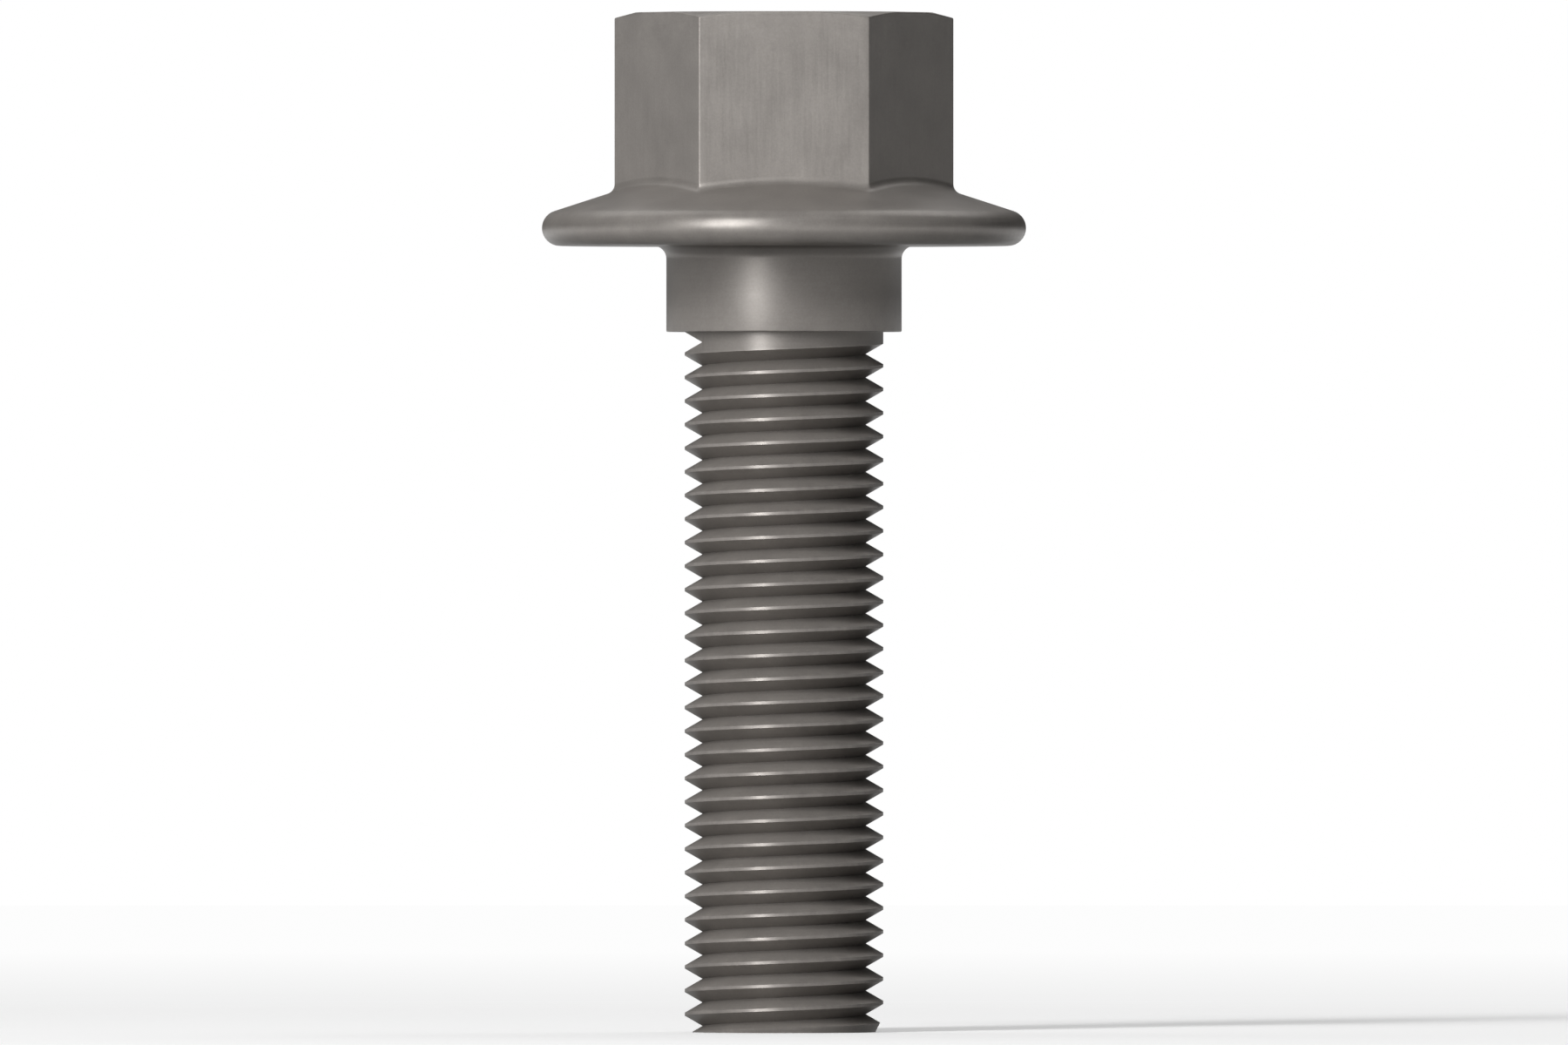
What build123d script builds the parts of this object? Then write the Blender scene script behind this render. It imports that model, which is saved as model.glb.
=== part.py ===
from build123d import *

import os
from math import ceil, cos, radians, sin, tan

# Hexagon flange bolt with a wide plain neck under the head, in millimetres.
# The origin is the centre of the bearing face. +Z runs up through the head and the shank hangs below.

# Shank
thread_diameter = 10.0
length_under_head = 39.6
end_chamfer_width = 0.4
end_chamfer_height = 0.8

# Thread: right-hand, sharp at the root and flat on the crest
thread_pitch = 1.1875
thread_angle = 60.0
crest_width = 0.15

# Neck between the bearing face and the thread
neck_diameter = 11.85
neck_length = 4.33
neck_fillet = 0.65

# Flange
flange_diameter = 24.4
flange_rim_radius = 0.9
flange_slope = 18.0

# Hexagon
width_across_flats = 14.8
head_height = 11.75
hexagon_foot_fillet = 0.5
top_circle_diameter = 15.0
top_chamfer_angle = 15.0

thread_radius = thread_diameter / 2
neck_radius = neck_diameter / 2
end_radius = thread_radius - end_chamfer_width
chamfer_top = end_chamfer_height - length_under_head

# The flange's rim is round in section: it leaves the bearing face and meets the sloping top without an edge.
rim_centre_radius = flange_diameter / 2 - flange_rim_radius
rim_top_radius = rim_centre_radius + flange_rim_radius * sin(radians(flange_slope))
rim_top_height = flange_rim_radius * (1 + cos(radians(flange_slope)))
slope_end_height = rim_top_height + (rim_top_radius - neck_radius) * tan(radians(flange_slope))

# The cone that takes the corners off the top is cut a little wider than the corners.
cut_radius = width_across_flats / 2 / cos(radians(30)) + 1
top_circle_radius = top_circle_diameter / 2
cut_height = head_height - (cut_radius - top_circle_radius) * tan(radians(top_chamfer_angle))

# The seams of the round faces lie on this half plane, clear of the hexagon's corners.
half_plane = Plane.XZ.rotated((0, 0, 30))

# The groove is cut by a triangle that stands a hair proud of the shank, and starts a hair under the neck.
proud = 0.02
shoulder_gap = 0.005
flank_slope = tan(radians(thread_angle / 2))
groove_depth = (thread_pitch - crest_width) / 2 / flank_slope
mouth_half_width = (groove_depth + proud) * flank_slope
groove_start = -neck_length - shoulder_gap - mouth_half_width
groove_turns = ceil((length_under_head + mouth_half_width + groove_start) / thread_pitch)
root_radius = thread_radius - groove_depth

# One turn of the thread's groove, as a solid to cut with.
with BuildPart() as groove_turn:
    with BuildLine() as helix:
        Helix(thread_pitch, thread_pitch, thread_radius)
    with BuildSketch(Plane(helix.line @ 0, x_dir=(1, 0, 0), z_dir=(0, 1, 0))):
        with BuildLine():
            Polyline((-groove_depth, 0), (proud, mouth_half_width), (proud, -mouth_half_width), close=True)
        make_face()
    sweep(path=helix.line, is_frenet=True)

with BuildPart() as flange_bolt:
    # Turned form: half the section of the flange, neck and shank, revolved.
    with BuildSketch(half_plane):
        with BuildLine():
            Polyline(
                (0, slope_end_height),
                (0, -length_under_head),
                (end_radius, -length_under_head),
                (thread_radius, chamfer_top),
                (thread_radius, -neck_length),
                (neck_radius, -neck_length),
                (neck_radius, -neck_fillet),
            )
            TangentArc((neck_radius, -neck_fillet), (neck_radius + neck_fillet, 0), tangent=(0, 1))
            Line((neck_radius + neck_fillet, 0), (rim_centre_radius, 0))
            TangentArc((rim_centre_radius, 0), (rim_top_radius, rim_top_height), tangent=(1, 0))
            Polyline((rim_top_radius, rim_top_height), (neck_radius, slope_end_height), (0, slope_end_height))
        make_face()
    revolve(axis=Axis.Z)

    # Hexagon with two corners on the X axis, and the fillets where its flats run out on the slope.
    with BuildSketch(Plane.XY.offset(flange_rim_radius)):
        RegularPolygon(width_across_flats / 2, 6, major_radius=False)
    extrude(amount=head_height - flange_rim_radius)
    fillet(flange_bolt.edges().filter_by(GeomType.HYPERBOLA), hexagon_foot_fillet)

    # Top chamfer: a ring of shallow conical section is turned off the corners.
    with BuildSketch(half_plane):
        with BuildLine():
            Polyline(
                (top_circle_radius, head_height),
                (cut_radius, head_height),
                (cut_radius, cut_height),
                close=True,
            )
        make_face()
    revolve(axis=Axis.Z, mode=Mode.SUBTRACT)

    # Thread: the turns of the groove follow one another from the neck down, and run out through the end.
    turn_heights = [groove_start - thread_pitch * turn for turn in range(1, groove_turns + 1)]
    with Locations([Location((0, 0, height), (0, 0, 180)) for height in turn_heights]):
        add(groove_turn.part, mode=Mode.SUBTRACT)

    # The groove comes in straight from the front, at a tangent to the shank, before its first turn begins on -X.
    with BuildSketch(Plane.XZ):
        with BuildLine():
            Polyline(
                (-root_radius, groove_start),
                (-thread_radius - proud, groove_start + mouth_half_width),
                (-thread_radius - proud, groove_start - mouth_half_width),
                close=True,
            )
        make_face()
    extrude(amount=thread_radius, mode=Mode.SUBTRACT)

flange_bolt.part.label = "flange_bolt"
os.makedirs("parts", exist_ok=True)
export_step(flange_bolt.part, "parts/flange_bolt.step")
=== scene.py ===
from math import acos, ceil, cos, pi, radians, sin, tan

import bmesh
import bpy
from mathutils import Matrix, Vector


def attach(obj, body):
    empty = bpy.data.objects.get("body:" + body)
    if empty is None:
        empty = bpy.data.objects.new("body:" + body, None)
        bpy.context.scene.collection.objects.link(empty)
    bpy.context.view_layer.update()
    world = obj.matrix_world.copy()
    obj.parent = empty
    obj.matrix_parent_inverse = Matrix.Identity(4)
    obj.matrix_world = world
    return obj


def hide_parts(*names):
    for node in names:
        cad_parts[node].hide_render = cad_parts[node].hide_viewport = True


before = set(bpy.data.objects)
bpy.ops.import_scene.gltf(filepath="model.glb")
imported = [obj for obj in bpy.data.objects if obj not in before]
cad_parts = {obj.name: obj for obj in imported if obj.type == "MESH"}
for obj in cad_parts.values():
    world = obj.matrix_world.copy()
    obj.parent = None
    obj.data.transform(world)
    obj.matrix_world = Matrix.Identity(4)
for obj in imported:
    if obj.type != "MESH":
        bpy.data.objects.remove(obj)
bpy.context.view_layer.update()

# The bolt is one piece of steel. A hexagon and a sloping round flange are forged onto the end of a bar,
# a plain neck is turned under them, and a right-hand thread is rolled onto the shank. All of it has a matt
# warm grey coat.

# Its skin is one net of corners and faces, worked out in millimetres. Columns run down it side by side,
# clockwise seen from above. The first is on -X, where the hexagon has a corner and the thread's groove
# begins. Corners closer than a hair are one.
millimetre = 0.001
hair = 1e-3
columns_per_side = 32
corner_columns = 2
columns = 6 * columns_per_side


def way_out(turn):
    """The way out from the axis, at an angle clockwise from -X."""
    return Vector((-cos(turn), sin(turn)))


def level(point, height):
    """A point of the plan, lifted to a height."""
    return Vector((point.x, point.y, height))


def arc_between(centre, start, end, steps):
    """Points of the round about a centre, from one point of it to another, both left out."""
    first, last = start - centre, end - centre
    radius = first.length
    first.normalize()
    last.normalize()
    return [centre + first.slerp(last, step / steps) * radius for step in range(1, steps)]


# Hexagon: six flats, with corners that are hardly broken. The top is flat inside a circle and slopes down
# outside it, so that only the corners are taken off. A fillet runs round the foot.
half_flats = 7.4
corner_to_flat = radians(30)
corner_radius = 0.09
head_height = 11.75
top_circle_radius = 7.5
top_slope = radians(15)
edge_radius = 0.09
edge_steps = 4
foot_fillet = 0.5
foot_steps = 7

# Flange: a shallow cone with a full round rim, 0.01 mm inside the solid's, and a flat bearing face at
# height zero.
flange_radius = 12.19
rim_radius = 0.9
rim_top_steps = 7
rim_low_steps = 8
cone_slope = radians(18)
rim_centre = Vector((flange_radius - rim_radius, rim_radius))
rim_top = rim_centre + Vector((sin(cone_slope), cos(cone_slope))) * rim_radius
cone_reach = rim_top.x * sin(cone_slope) + rim_top.y * cos(cone_slope)


def hexagon_outline(column):
    """The point where a column meets the hexagon's wall, and the wall's outward direction there."""
    corner, step = divmod(column + corner_columns, columns_per_side)
    step -= corner_columns
    corner_turn = 2 * corner_to_flat * corner
    flat_turn = corner_turn + corner_to_flat
    if step <= corner_columns:
        facing = way_out(corner_turn + corner_to_flat * step / corner_columns)
        round_centre = way_out(corner_turn) * (half_flats - corner_radius) / cos(corner_to_flat)
        return round_centre + facing * corner_radius, facing
    facing = way_out(flat_turn)
    along = Vector((sin(flat_turn), cos(flat_turn)))
    half_length = (half_flats - corner_radius) * tan(corner_to_flat)
    share = (step - corner_columns) / (columns_per_side - 2 * corner_columns)
    return facing * half_flats + along * half_length * (2 * share - 1), facing


def head_points(column):
    """One column of the head, from the top circle down to where the foot fillet ends on the cone."""
    wall, facing = hexagon_outline(column)

    # A ball rolled along inside the top edge touches the wall and either the flat or the slope, whichever
    # is lower.
    inside = wall - facing * edge_radius
    sloped = head_height - (inside.length - top_circle_radius) * tan(top_slope) - edge_radius / cos(top_slope)
    flat = head_height - edge_radius
    ball = level(inside, min(flat, sloped))
    up = Vector((0, 0, 1)) if flat <= sloped else level(wall.normalized() * sin(top_slope), cos(top_slope))
    on_top = ball + up * edge_radius
    on_wall = level(wall, ball.z)
    reach = min(top_circle_radius, on_top.xy.length)
    circle = level(on_top.xy.normalized() * reach, head_height)

    # Another ball in the foot touches the wall and the cone.
    hollow = wall + facing * foot_fillet
    hollow_height = (cone_reach + foot_fillet - hollow.length * sin(cone_slope)) / cos(cone_slope)
    hollow_ball = level(hollow, hollow_height)
    away = hollow.normalized()
    down = Vector((-away.x * sin(cone_slope), -away.y * sin(cone_slope), -cos(cone_slope)))
    foot_top = level(wall, hollow_height)
    foot_end = hollow_ball + down * foot_fillet

    return [
        circle, on_top, *arc_between(ball, on_top, on_wall, edge_steps), on_wall,
        on_wall.lerp(foot_top, 0.5), foot_top,
        *arc_between(hollow_ball, foot_top, foot_end, foot_steps), foot_end,
    ]


# Neck: wider than the thread, with a fillet under the flange and a hardly broken lower edge.
neck_radius = 5.925
neck_fillet = 0.65
neck_fillet_steps = 8
neck_end = -4.33
neck_edge = 0.06
thread_radius = 5.0


def turned_section():
    """The section of the flange and the neck, from the top of the rim to the shoulder above the thread."""
    bearing_edge = Vector((rim_centre.x, 0))
    fillet_start = Vector((neck_radius + neck_fillet, 0))
    fillet_centre = Vector((neck_radius + neck_fillet, -neck_fillet))
    fillet_end = Vector((neck_radius, -neck_fillet))
    widest = rim_centre + Vector((rim_radius, 0))
    edge_centre = Vector((neck_radius - neck_edge, neck_end + neck_edge))
    edge_top = Vector((neck_radius, edge_centre.y))
    edge_bottom = Vector((edge_centre.x, neck_end))
    return [
        rim_top, *arc_between(rim_centre, rim_top, widest, rim_top_steps), widest,
        *arc_between(rim_centre, widest, bearing_edge, rim_low_steps), bearing_edge,
        bearing_edge.lerp(fillet_start, 0.5), fillet_start,
        *arc_between(fillet_centre, fillet_start, fillet_end, neck_fillet_steps), fillet_end,
        fillet_end.lerp(edge_top, 0.5), edge_top,
        *arc_between(edge_centre, edge_top, edge_bottom, edge_steps), edge_bottom,
        Vector((thread_radius, neck_end)),
    ]


cone_rows = 5
top_rings = 4
net = bmesh.new()


def join(rows):
    """Faces between neighbouring rows of corners, closed round the bolt."""
    for upper, lower in zip(rows, rows[1:]):
        for column in range(columns):
            after = (column + 1) % columns
            ring = dict.fromkeys([upper[column], upper[after], lower[after], lower[column]])
            if len(ring) > 2:
                net.faces.new(ring)


# Rings on the flat top, then the head's rows. Along the middle of a flat the circle lies out past the wall
# and the top ends at the broken edge, so that there the first two rows share one corner.
sides = [head_points(column) for column in range(columns)]
skin_rows = []
for ring in range(1, top_rings):
    share = ring / top_rings
    skin_rows.append([net.verts.new(level(side[0].xy * share, head_height)) for side in sides])
for row in range(len(sides[0])):
    corners = []
    for side in sides:
        shared = row == 1 and (side[1] - side[0]).length < hair
        corners.append(skin_rows[-1][len(corners)] if shared else net.verts.new(side[row]))
    skin_rows.append(corners)

# On the cone the columns swing over from the hexagon's spacing to the even one of the turned faces.
turned_ways = [way_out(2 * pi * column / columns) for column in range(columns)]
for row in range(1, cone_rows):
    corners = []
    for side, way in zip(sides, turned_ways):
        spot = side[-1].xy.lerp(way * rim_top.x, row / cone_rows)
        height = (cone_reach - spot.length * sin(cone_slope)) / cos(cone_slope)
        corners.append(net.verts.new(level(spot, height)))
    skin_rows.append(corners)
for point in turned_section():
    skin_rows.append([net.verts.new(level(way * point.x, point.y)) for way in turned_ways])
join(skin_rows)
top_middle = net.verts.new((0, 0, head_height))
for column in range(columns):
    net.faces.new([top_middle, skin_rows[0][column], skin_rows[0][(column + 1) % columns]])

# Thread: right-hand, 60 degrees, sharp at the root. The groove comes in straight from the front, at a
# tangent to the shank close under the shoulder, begins its first turn on -X and runs out through the
# chamfer at the end. It is laid out flat first: turn, radius, height.
thread_pitch = 1.1875
crest_width = 0.15
flank_slope = tan(radians(30))
bolt_end = -39.6
end_radius = 4.6
end_slope = 0.5
groove_width = thread_pitch - crest_width
groove_depth = groove_width / 2 / flank_slope
root_radius = thread_radius - groove_depth
turns = ceil((neck_end - bolt_end) / thread_pitch) + 1

# Shares across the groove, from its upper lip over the root at 0 to its lower lip, and the drop and depth
# at each.
flank_rows = 2
across_groove = [row / flank_rows for row in range(-flank_rows, flank_rows + 1)]
tooth = [(groove_width / 2 * (1 + share), groove_depth * (1 - abs(share))) for share in across_groove]

# The straight stretch lies in front of -X, where the shank curves away from it until it is out of the steel.
run_in_height = neck_end - groove_width / 2
run_in_start = columns - ceil(acos(root_radius / thread_radius) / (2 * pi / columns))


def run_in_points(column):
    """The straight stretch's section at one column: radius and height, from its upper lip to its lower."""
    lean = 2 * pi * (columns - column) / columns
    half = max(0, thread_radius * cos(lean) - root_radius) * flank_slope
    root = min(thread_radius, root_radius / cos(lean))
    return [
        (root + (thread_radius - root) * abs(share), run_in_height - half * share)
        for share in across_groove
    ]


# The first band is the plain strip between the shoulder and the groove, with the straight stretch in it,
# which begins as a point.
unrolled = bmesh.new()
sheet = []
first_bands = []
for column in range(columns + 1):
    turn_angle = 2 * pi * column / columns
    lip = neck_end - thread_pitch * column / columns
    plain_end = neck_end - groove_width * column / columns
    inner = []
    if column >= run_in_start:
        points = run_in_points(column)
        plain_end = min(plain_end, points[-1][1])
        inner = [unrolled.verts.new((turn_angle, *point)) for point in points]
    if column == run_in_start:
        inner = inner[:1] * len(inner)
    ends = [unrolled.verts.new((turn_angle, thread_radius, height)) for height in (neck_end, plain_end)]
    first_bands.append([ends[0], *inner, ends[1]])
    heights = [(lip - thread_pitch * turn - drop, depth) for turn in range(turns) for drop, depth in tooth]
    grooves = [unrolled.verts.new((turn_angle, thread_radius - depth, height)) for height, depth in heights]
    sheet.append([ends[1], *grooves])
for left, right in zip(sheet, sheet[1:]):
    for row in range(len(left) - 1):
        unrolled.faces.new([left[row], right[row], right[row + 1], left[row + 1]])
for left, right in zip(first_bands, first_bands[1:]):
    if len(left) < len(right):
        unrolled.faces.new(dict.fromkeys([left[0], *right, left[1]]))
    else:
        for row in range(len(left) - 1):
            unrolled.faces.new(dict.fromkeys([left[row], right[row], right[row + 1], left[row + 1]]))

# In this layout both the chamfer and the end are flat cuts through the same line.
chamfer_foot = Vector((0, end_radius, bolt_end))
chamfer_normal = Vector((0, 1, -end_slope)).normalized()
cut_tolerance = 1e-6


def cut_sheet(normal, drop_outer):
    """Cuts the sheet by a plane through the chamfer's foot, and may drop what lies past it."""
    everything = unrolled.verts[:] + unrolled.edges[:] + unrolled.faces[:]
    bmesh.ops.bisect_plane(
        unrolled, geom=everything, dist=cut_tolerance, plane_co=chamfer_foot, plane_no=normal,
        clear_outer=drop_outer)


cut_sheet(chamfer_normal, drop_outer=False)
cut_sheet(Vector((0, 0, -1)), drop_outer=True)
for corner in unrolled.verts:
    turn_angle, radius, height = corner.co
    radius = min(radius, end_radius + (height - bolt_end) * end_slope)
    corner.co = level(way_out(turn_angle) * radius, height)

# The rolled-up sheet joins the head along the shoulder, and its last edge is closed by the end face.
thread_mesh = bpy.data.meshes.new("thread_part")
unrolled.to_mesh(thread_mesh)
unrolled.free()
net.from_mesh(thread_mesh)
bpy.data.meshes.remove(thread_mesh)
bmesh.ops.remove_doubles(net, verts=net.verts[:], dist=hair)
rim_of_end = [edge for edge in net.edges if edge.is_boundary]
bmesh.ops.contextual_create(net, geom=rim_of_end)
bmesh.ops.recalc_face_normals(net, faces=net.faces[:])

# Crests, roots and the top circle keep a hard edge. Everything round shades smooth. Each corner of the net
# also notes how far it stands out, and in the thread how deep it lies, because edges rub bright, with a
# painted highlight on them, and roots are rougher and painted darker as shade.
hard_angle = radians(28)
full_wear_angle = radians(27)
worn = net.verts.layers.float.new("worn")
sunk = net.verts.layers.float.new("sunk")


def on_top_circle(corner):
    """Whether a corner of the net lies on the edge of the flat top."""
    return abs(corner.co.xy.length - top_circle_radius) < hair and corner.co.z > head_height - hair


for face in net.faces:
    face.smooth = True
for edge in net.edges:
    on_circle = all(on_top_circle(corner) for corner in edge.verts)
    edge.smooth = not (on_circle or edge.calc_face_angle(0) > hard_angle)
    bend = edge.calc_face_angle_signed(0) / full_wear_angle
    for corner in edge.verts:
        corner[worn] = min(1, max(corner[worn], bend))
        if corner.co.z < neck_end:
            corner[sunk] = min(1, max(corner[sunk], -bend))

# The flats of the hexagon are wiped by the die along the axis. All else is turned or rolled round it.
wiped_top = head_height - 0.1
flat_ways = [way_out(corner_to_flat * (2 * side + 1)) for side in range(3)]
along_axis = net.verts.layers.float.new("along_axis")
for corner in net.verts:
    out_to_flat = max(abs(corner.co.xy @ way) for way in flat_ways)
    on_flat = abs(out_to_flat - half_flats) < hair and 0 < corner.co.z < wiped_top
    corner[along_axis] = 1 if on_flat else 0
bmesh.ops.scale(net, vec=(millimetre,) * 3, verts=net.verts[:])


def put_in_scene(name, data):
    """A new object in the scene, made of a mesh, a lamp or a camera."""
    made = bpy.data.objects.new(name, data)
    bpy.context.scene.collection.objects.link(made)
    return made


bolt_mesh = bpy.data.meshes.new("bolt")
net.to_mesh(bolt_mesh)
net.free()
bolt = put_in_scene("bolt", bolt_mesh)
bolt.modifiers.new("even_shading", "WEIGHTED_NORMAL").keep_sharp = True

# The finish: a matt warm grey metallic coat. Rings from the lathe and the thread rollers run round the
# bolt, fine die lines run down its flats, edges are rubbed a little brighter, partly as a painted highlight,
# and the bottom of the thread is rougher and painted darker as shade.
steel = bpy.data.materials.new("satin_steel")
steel.use_nodes = True
tree = steel.node_tree


def feed(socket, value):
    """Links an output to a socket, or sets a plain value on it."""
    if isinstance(value, bpy.types.NodeSocket):
        tree.links.new(value, socket)
    else:
        socket.default_value = value


def node(kind, **settings):
    """A node in the tree at hand. A setting that starts with in_ feeds the input of that name or number."""
    made = tree.nodes.new("ShaderNode" + kind)
    inputs = {name: value for name, value in settings.items() if name.startswith("in_")}
    for name, value in settings.items():
        if name not in inputs:
            setattr(made, name, value)
    for name, value in inputs.items():
        key = name[len("in_"):]
        feed(made.inputs[int(key) if key.isdigit() else key.replace("_", " ")], value)
    return made


def worked(operation, *values):
    """The result of a sum on plain values, outputs or both."""
    made = node("Math", operation=operation)
    for socket, value in zip(made.inputs, values):
        feed(socket, value)
    return made.outputs[0]


def spread(value, low, high, new_low, new_high):
    """A value's range stretched to a new one, and held there."""
    made = node(
        "MapRange", in_Value=value, in_From_Min=low, in_From_Max=high, in_To_Min=new_low, in_To_Max=new_high)
    return made.outputs["Result"]


def noise(where, scale, detail, roughness, **settings):
    """Noise over a place, mostly between 0.3 and 0.7."""
    made = node(
        "TexNoise", in_Vector=where, in_Scale=scale, in_Detail=detail, in_Roughness=roughness, **settings)
    return made.outputs["Fac"]


def mark(name):
    """What each corner of the net notes under a name."""
    return node("Attribute", attribute_name=name).outputs["Fac"]


place = node("TexCoord").outputs["Object"]
in_millimetres = node("VectorMath", operation="SCALE", in_0=place, in_Scale=1 / millimetre).outputs[0]
parts = node("SeparateXYZ", in_0=in_millimetres).outputs
flat_place = node("CombineXYZ", in_X=parts["X"], in_Y=parts["Y"]).outputs[0]
out_distance = node("VectorMath", operation="LENGTH", in_0=flat_place).outputs["Value"]
flat_direction = node("VectorMath", operation="NORMALIZE", in_0=flat_place).outputs[0]

# Rings: noise that changes fast outward and along the axis, and slowly round it.
rings_per_millimetre = 5.0
ring_breaks = 1.6
ring_way = node("VectorMath", operation="SCALE", in_0=flat_direction, in_Scale=ring_breaks).outputs[0]
ring_step = node("CombineXYZ", in_Z=worked("MULTIPLY", out_distance, rings_per_millimetre)).outputs[0]
ring_place = node("VectorMath", operation="ADD", in_0=ring_way, in_1=ring_step).outputs[0]
ring_height = worked("MULTIPLY", parts["Z"], rings_per_millimetre)
rings = noise(ring_place, scale=1.0, detail=3.0, roughness=0.6, noise_dimensions="4D", in_W=ring_height)

# Die lines: noise that changes fast across and slowly along the axis.
line_steps = (6.0, 6.0, 0.35)
line_place = node("VectorMath", operation="MULTIPLY", in_0=in_millimetres, in_1=line_steps).outputs[0]
die_lines = noise(line_place, scale=1.0, detail=3.0, roughness=0.6)
tooling = node("Mix", in_0=mark("along_axis"), in_2=rings, in_3=die_lines).outputs[0]

# Grain of the coat, soft clouds in its tone, and rubbed edges with a painted highlight, here more, there
# less.
grain = noise(in_millimetres, scale=9.0, detail=4.0, roughness=0.65)
clouds = noise(in_millimetres, scale=0.45, detail=3.0, roughness=0.55)
rubbing = noise(in_millimetres, scale=1.7, detail=3.0, roughness=0.6)
rub_low, rub_high = 0.35, 0.65
least_rubbing = 0.35
edge_wear_and_highlight = worked("MULTIPLY", mark("worn"), spread(rubbing, rub_low, rub_high, least_rubbing, 1))
# How deep each corner lies in the thread's roots: painted shade there, and a rougher surface.
hollow = mark("sunk")
noise_low, noise_high = 0.3, 0.7


def follow(texture, ends):
    """A value that goes from one end to the other as a noise goes through its usual range."""
    return spread(texture, noise_low, noise_high, *ends)


# Tone: the coat's colour, a little lighter and darker with the clouds, the grain and the tooling, brighter
# on rubbed edges, partly a painted highlight, and darker in the roots, which is painted shade.
coat_colour = (0.300, 0.2775, 0.2580)
cloud_tone, grain_tone, tool_tone = (0.93, 1.07), (0.94, 1.06), (0.965, 1.035)
worn_and_highlight_tone, root_painted_shade = 1.3, 0.78
tone = worked("MULTIPLY", follow(clouds, cloud_tone), follow(grain, grain_tone))
tone = worked("MULTIPLY", tone, follow(tooling, tool_tone))
tone = worked("MULTIPLY", tone, spread(edge_wear_and_highlight, 0, 1, 1, worn_and_highlight_tone))
tone = worked("MULTIPLY", tone, spread(hollow, 0, 1, 1, root_painted_shade))
colour = node("VectorMath", operation="SCALE", in_0=coat_colour, in_Scale=tone).outputs[0]
shader = tree.nodes["Principled BSDF"]
feed(shader.inputs["Base Color"], colour)

# Sheen: half matt, smoother where it is rubbed and rougher in the roots.
coat_metal = 0.34
cloud_roughness, tool_roughness = (0.38, 0.44), (-0.03, 0.04)
worn_polish, root_roughness = 0.07, 0.1
roughness = worked("ADD", follow(clouds, cloud_roughness), follow(tooling, tool_roughness))
roughness = worked("SUBTRACT", roughness, spread(edge_wear_and_highlight, 0, 1, 0, worn_polish))
roughness = worked("ADD", roughness, spread(hollow, 0, 1, 0, root_roughness))
feed(shader.inputs["Roughness"], roughness)
shader.inputs["Metallic"].default_value = coat_metal

# Relief: thousandths of a millimetre, first the grain and the tooling over it.
grain_depth, tool_depth = 0.003 * millimetre, 0.006 * millimetre
grain_strength, tool_strength = 0.35, 0.5
grain_bump = node("Bump", in_Strength=grain_strength, in_Distance=grain_depth, in_Height=grain).outputs[0]
tool_bump = node(
    "Bump", in_Strength=tool_strength, in_Distance=tool_depth, in_Height=tooling, in_Normal=grain_bump)
feed(shader.inputs["Normal"], tool_bump.outputs[0])
bolt_mesh.materials.append(steel)

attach(bolt, "root")
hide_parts("flange_bolt")

# The floor: a large sheet of pale matt paper under the bolt, which takes its shadow. Farther out it fades
# into an even glow, the same as the ground past its edge so that no seam shows, and then on to white. It is
# this bright only to the eye and in the metal, and throws little light.
floor_radius = 0.8
floor_corners = 128
floor_mesh = bpy.data.meshes.new("floor")
paper_net = bmesh.new()
bmesh.ops.create_circle(paper_net, cap_ends=True, radius=floor_radius, segments=floor_corners)
paper_net.to_mesh(floor_mesh)
paper_net.free()
floor = put_in_scene("floor", floor_mesh)
floor.location.z = bolt_end * millimetre

near_glow, ground_grey, far_glow = 0.27, 0.88, 0.98
fade_start, fade_end = 0.08, 0.16
glow_start, glow_full = 0.18, 0.45
shown_grey, thrown_grey = 1.0, 0.1
paper = bpy.data.materials.new("pale_paper")
paper.use_nodes = True
tree = paper.node_tree
paper_shader = tree.nodes["Principled BSDF"]
paper_shader.inputs["Roughness"].default_value = 0.9
paper_shader.inputs["Specular IOR Level"].default_value = 0
paper_shader.inputs["Emission Color"].default_value = (1, 1, 1, 1)
ray = node("LightPath").outputs
mirrored = worked("MAXIMUM", ray["Is Glossy Ray"], ray["Is Transmission Ray"])
seen = worked("MAXIMUM", ray["Is Camera Ray"], mirrored)
away = node("VectorMath", operation="LENGTH", in_0=node("TexCoord").outputs["Object"]).outputs["Value"]
fade = spread(away, fade_start, fade_end, 0, 1)
far_step = spread(away, glow_start, glow_full, 0, far_glow - ground_grey)
glow = worked("ADD", spread(fade, 0, 1, near_glow, ground_grey), far_step)
feed(paper_shader.inputs["Emission Strength"], worked("MULTIPLY", seen, glow))
lit_grey = spread(fade, 0, 1, shown_grey, 0)
paper_grey = node("Mix", in_0=ray["Is Camera Ray"], in_2=thrown_grey, in_3=lit_grey).outputs[0]
feed(paper_shader.inputs["Base Color"], paper_grey)
floor_mesh.materials.append(paper)

# The camera: square on to one flat of the hexagon, and far off, so that the bolt shows almost no
# perspective. It looks along +Y at the height of the bolt's middle.
frame_width = 78.95 * millimetre
sensor_width = 36.0
lens_length = 1100.0
view_height = -13.93 * millimetre
camera_data = bpy.data.cameras.new("camera")
camera_data.sensor_width = sensor_width
camera_data.lens = lens_length
camera_data.clip_start = 0.1
camera_data.clip_end = 20
camera = put_in_scene("camera", camera_data)
camera.location = (0, -frame_width * lens_length / sensor_width, view_height)
camera.rotation_euler = (pi / 2, 0, 0)
bpy.context.scene.camera = camera

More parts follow.
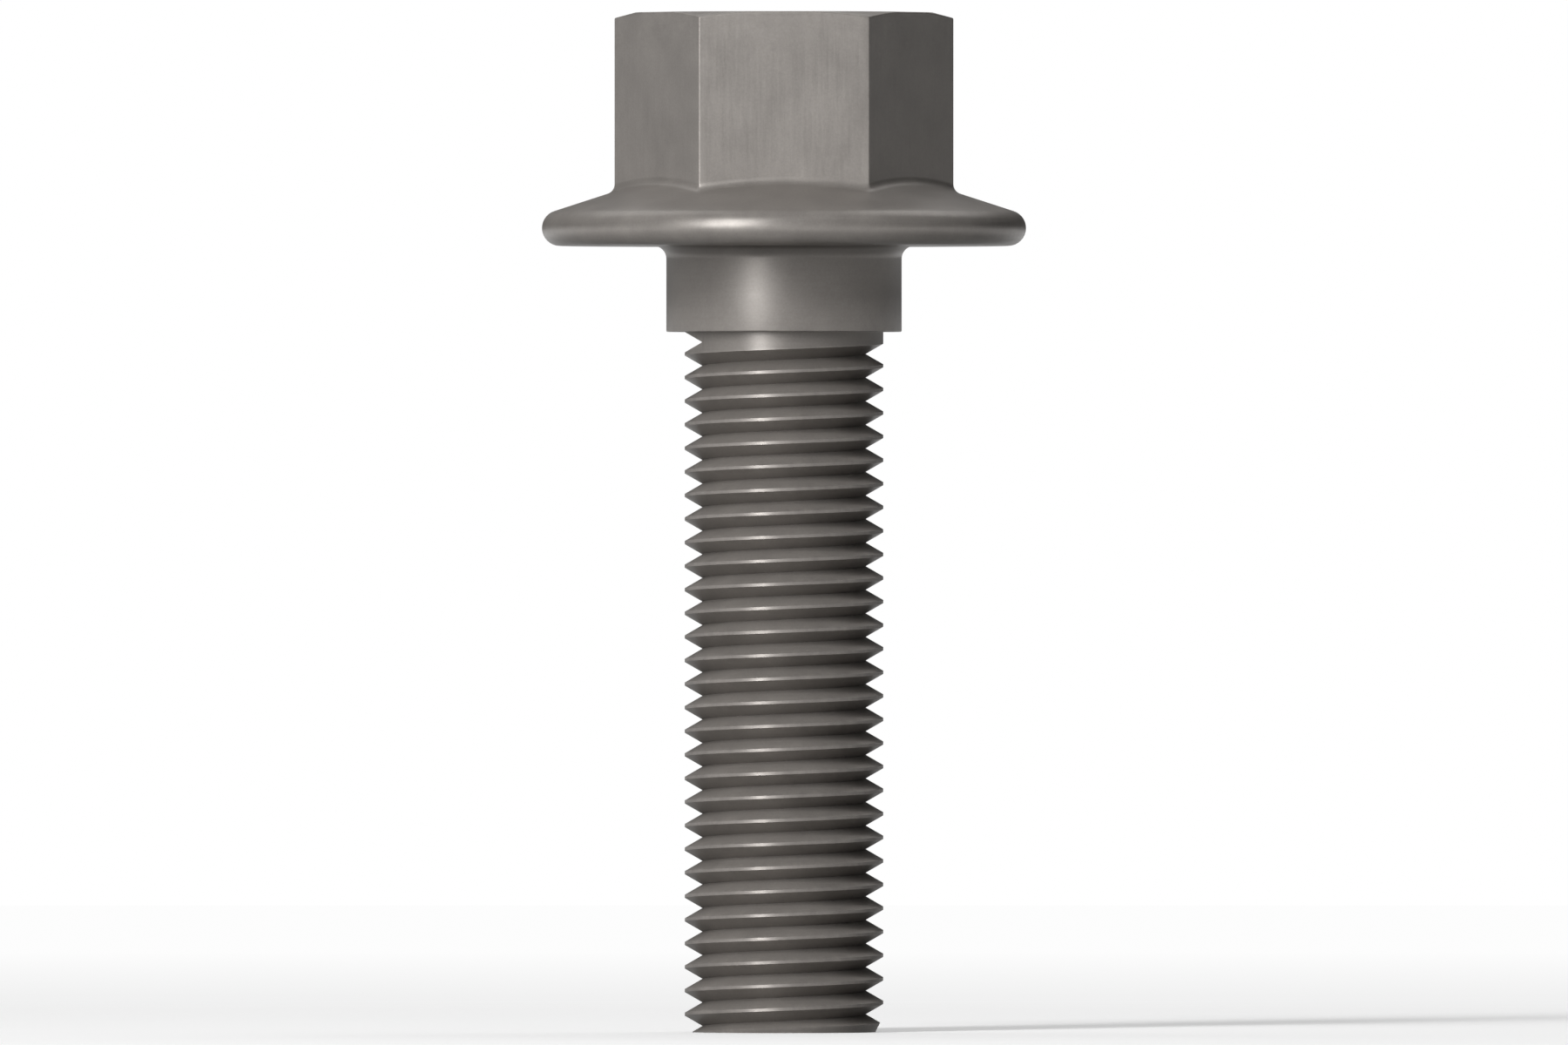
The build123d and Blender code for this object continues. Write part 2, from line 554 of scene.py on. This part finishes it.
# The lamps: softboxes on stands round the bolt. The main one is tall and low to the left of the camera, with
# a small one above it for the flange's slope. Weak ones in front and overhead lift the dark sides, and two
# wide ones high behind the bolt brighten its outline.
lamp_distance = 1.0


def softbox(name, azimuth, elevation, width, height, power):
    """A soft lamp that faces the bolt. Its angles are left of the camera and above it, in degrees."""
    lamp = bpy.data.lights.new(name, "AREA")
    lamp.shape = "RECTANGLE"
    lamp.size, lamp.size_y = width, height
    lamp.energy = power
    turn, lift = radians(azimuth), radians(elevation)
    way = Vector((-sin(turn) * cos(lift), -cos(turn) * cos(lift), sin(lift)))
    lamp_object = put_in_scene(name, lamp)
    lamp_object.location = way * lamp_distance + Vector((0, 0, view_height))
    lamp_object.rotation_euler = way.to_track_quat("Z", "Y").to_euler()


softbox("main_strip", azimuth=28, elevation=16, width=0.14, height=0.55, power=6.6)
softbox("main_high", azimuth=28, elevation=39, width=0.2, height=0.2, power=2.1)
softbox("front", azimuth=20, elevation=12, width=0.3, height=0.5, power=0.4)
softbox("left_back", azimuth=148, elevation=54, width=0.8, height=0.6, power=1.5)
softbox("right_back", azimuth=-148, elevation=54, width=0.8, height=0.6, power=1.7)
softbox("overhead", azimuth=0, elevation=80, width=0.8, height=0.8, power=0.3)

# The studio round it: a dim room, a white screen far behind the bolt, and pale ground past the floor's edge.
# Screen and ground fade in, so that neither has a sharp edge.
room_grey = 0.05
screen_edge, screen_full = cos(radians(8)), cos(radians(3))
ground_edge, ground_full = sin(radians(-1.5)), sin(radians(-2.2))
world = bpy.data.worlds.new("studio")
bpy.context.scene.world = world
world.use_nodes = True
tree = world.node_tree
looking = node("SeparateXYZ", in_0=node("TexCoord").outputs["Generated"]).outputs
screen = spread(looking["Y"], screen_edge, screen_full, room_grey, 1)
ground = spread(looking["Z"], ground_full, ground_edge, 1, 0)
light = node("Mix", in_0=ground, in_2=screen, in_3=ground_grey).outputs[0]
feed(tree.nodes["Background"].inputs["Color"], light)
bpy.context.scene.view_settings.view_transform = "Standard"
